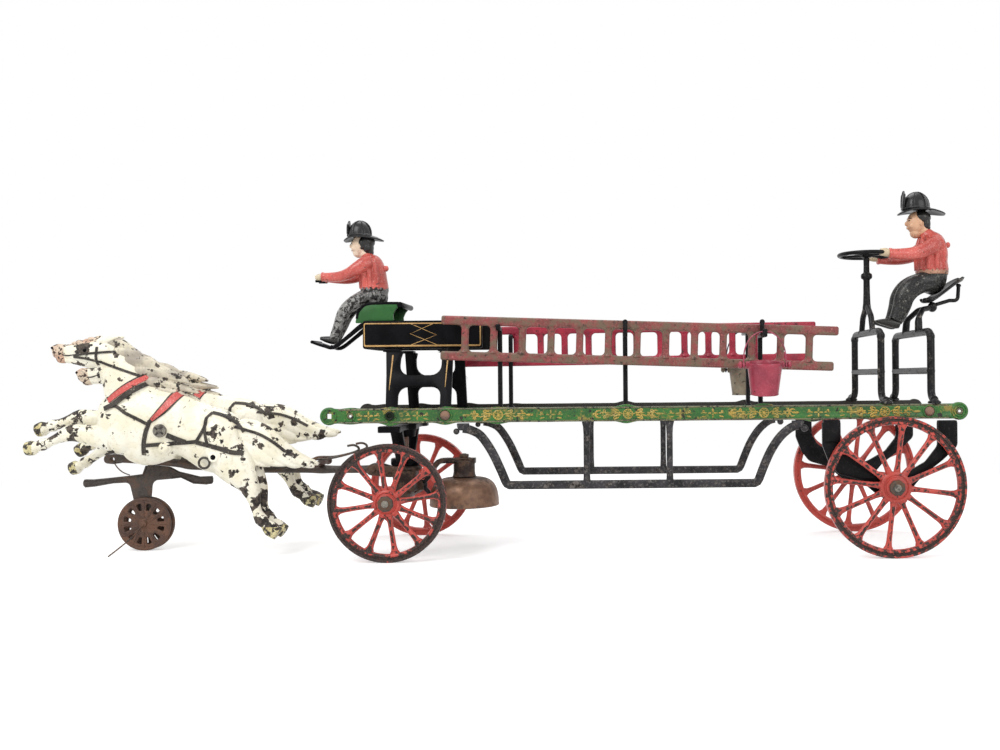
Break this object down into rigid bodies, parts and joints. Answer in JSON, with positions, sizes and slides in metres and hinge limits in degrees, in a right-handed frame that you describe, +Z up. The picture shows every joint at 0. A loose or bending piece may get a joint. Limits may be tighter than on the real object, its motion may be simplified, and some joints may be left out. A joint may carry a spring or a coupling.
{
  "type": "horse carriage",
  "caption": "Cast iron toy: horse-drawn ladder wagon with rocking horses, spoked wheels, ladders, buckets, bell, driver and steersman.",
  "frame": {"origin": "middle of the whole model's footprint, on the ground", "axes": "+X points to the rear of the wagon (the horses face -X), +Y to the far side, +Z up"},
  "size_m": [0.7294, 0.1494, 0.2806],
  "materials": {
    "green_paint": "worn gloss enamel with gold relief",
    "black_enamel": "worn gloss enamel",
    "wheel_red": "worn enamel",
    "worn_red": "worn enamel",
    "crimson": "gloss enamel",
    "bucket_crimson": "gloss enamel",
    "worn_beige": "worn enamel",
    "horse_white": "chipped enamel",
    "jacket_red": "worn enamel",
    "rusty_iron": "rusted",
    "dark_iron": "worn",
    "bell_copper": "tarnished copper finish"
  },
  "bodies": {
    "wagon": {"near_side_rail": "green_paint", "near_truss": "black_enamel", "near_h_frame": "black_enamel", "near_box_panel": "black_enamel", "near_rear_hanger": "black_enamel", "far_side_rail": "green_paint", "far_truss": "black_enamel", "far_h_frame": "black_enamel", "far_box_panel": "black_enamel", "far_rear_hanger": "black_enamel", "driver_seat": "green_paint", "front_tie_rod": "dark_iron", "middle_tie_rod": "dark_iron", "rear_tie_rod": "dark_iron", "rear_axle": "dark_iron", "king_pin": "dark_iron", "box_floor": "black_enamel", "footboard": "black_enamel", "front_rack": "black_enamel", "middle_rack": "black_enamel", "rear_rack": "black_enamel", "steering_stand": "black_enamel", "seat_stand": "black_enamel", "tiller_seat": "black_enamel", "front_bolster": "black_enamel"},
    "front_truck": {"truck_body": "rusty_iron", "front_axle": "dark_iron", "bell_bracket": "rusty_iron", "bell": "bell_copper", "bell_bolt": "dark_iron"},
    "bell_hammer": {"bell_hammer": "dark_iron"},
    "pole": {"pole": "rusty_iron", "whippletree": "rusty_iron", "near_trace": "rusty_iron", "far_trace": "rusty_iron", "carriage_frame": "rusty_iron", "carriage_axle": "dark_iron", "horse_rod": "dark_iron"},
    "carriage_wheels": {"near_carriage_wheel": "rusty_iron", "far_carriage_wheel": "rusty_iron"},
    "near_horse": {"near_horse": "horse_white"},
    "far_horse": {"far_horse": "horse_white"},
    "near_front_wheel": {"near_front_wheel": "wheel_red"},
    "far_front_wheel": {"far_front_wheel": "wheel_red"},
    "near_rear_wheel": {"near_rear_wheel": "wheel_red"},
    "far_rear_wheel": {"far_rear_wheel": "wheel_red"},
    "steering_wheel": {"steering_wheel": "black_enamel"},
    "driver": {"driver": "jacket_red"},
    "steersman": {"steersman": "jacket_red"},
    "near_ladder": {"near_ladder": "worn_red"},
    "far_ladder": {"far_ladder": "crimson"},
    "near_bail": {"near_bucket_bail": "dark_iron"},
    "far_bail": {"far_bucket_bail": "dark_iron"},
    "near_bucket": {"near_bucket": "bucket_crimson"},
    "far_bucket": {"far_bucket": "worn_beige"}
  },
  "joints": [
    {"name": "front_truck_swivel", "type": "hinge", "parent": "wagon", "child": "front_truck", "pos_m": [-0.0792, 0, 0.0647], "axis": [0, 0, 1], "range_deg": [-20, 20]},
    {"name": "pole_lift", "type": "hinge", "parent": "front_truck", "child": "pole", "pos_m": [-0.104, 0, 0.0625], "axis": [0, 1, 0], "range_deg": [0, 10]},
    {"name": "carriage_wheels_roll", "type": "hinge", "parent": "pole", "child": "carriage_wheels", "pos_m": [-0.2858, 0, 0.021], "axis": [0, 1, 0], "continuous": true},
    {"name": "near_horse_rock", "type": "hinge", "parent": "pole", "child": "near_horse", "pos_m": [-0.2513, -0.029, 0.0834], "axis": [0, 1, 0], "range_deg": [-11, 0]},
    {"name": "far_horse_rock", "type": "hinge", "parent": "pole", "child": "far_horse", "pos_m": [-0.2513, 0.029, 0.0834], "axis": [0, 1, 0], "range_deg": [0, 11]},
    {"name": "bell_hammer_swing", "type": "hinge", "parent": "front_truck", "child": "bell_hammer", "pos_m": [-0.0689, 0.0146, 0.0484], "axis": [0, 1, 0], "range_deg": [0, 15]},
    {"name": "near_front_wheel_roll", "type": "hinge", "parent": "front_truck", "child": "near_front_wheel", "pos_m": [-0.0792, -0.0645, 0.0433], "axis": [0, 1, 0], "continuous": true},
    {"name": "far_front_wheel_roll", "type": "hinge", "parent": "front_truck", "child": "far_front_wheel", "pos_m": [-0.0792, 0.0645, 0.0433], "axis": [0, 1, 0], "continuous": true},
    {"name": "near_rear_wheel_roll", "type": "hinge", "parent": "wagon", "child": "near_rear_wheel", "pos_m": [0.2923, -0.0645, 0.0518], "axis": [0, 1, 0], "continuous": true},
    {"name": "far_rear_wheel_roll", "type": "hinge", "parent": "wagon", "child": "far_rear_wheel", "pos_m": [0.2923, 0.0645, 0.0518], "axis": [0, 1, 0], "continuous": true},
    {"name": "steering_wheel_turn", "type": "hinge", "parent": "wagon", "child": "steering_wheel", "pos_m": [0.2886, 0, 0.2294], "axis": [0, 0, 1], "continuous": true},
    {"name": "driver_lift_off", "type": "slide", "parent": "wagon", "child": "driver", "axis": [0, 0, 1], "range_m": [0, 0.03]},
    {"name": "steersman_lift_off", "type": "slide", "parent": "wagon", "child": "steersman", "axis": [0, 0, 1], "range_m": [0, 0.018]},
    {"name": "near_ladder_lift", "type": "slide", "parent": "wagon", "child": "near_ladder", "axis": [0, 0, 1], "range_m": [0, 0.013]},
    {"name": "far_ladder_lift", "type": "slide", "parent": "wagon", "child": "far_ladder", "axis": [0, 0, 1], "range_m": [0, 0.013]},
    {"name": "near_bail_swing", "type": "hinge", "parent": "wagon", "child": "near_bail", "pos_m": [0.1982, -0.0615, 0.16505], "axis": [0, 1, 0], "range_deg": [-10, 10]},
    {"name": "near_bucket_tip", "type": "hinge", "parent": "near_bail", "child": "near_bucket", "pos_m": [0.1982, -0.0615, 0.142], "axis": [1, 0, 0], "range_deg": [-8, 20]},
    {"name": "far_bail_swing", "type": "hinge", "parent": "wagon", "child": "far_bail", "pos_m": [0.1982, 0.0615, 0.1695], "axis": [0, 1, 0], "range_deg": [-10, 10]},
    {"name": "far_bucket_tip", "type": "hinge", "parent": "far_bail", "child": "far_bucket", "pos_m": [0.1982, 0.0615, 0.1398], "axis": [1, 0, 0], "range_deg": [-20, 8]}
  ],
  "couplings": [
    {"joint": "far_horse_rock", "follows": "near_horse_rock", "ratio": -1}
  ]
}
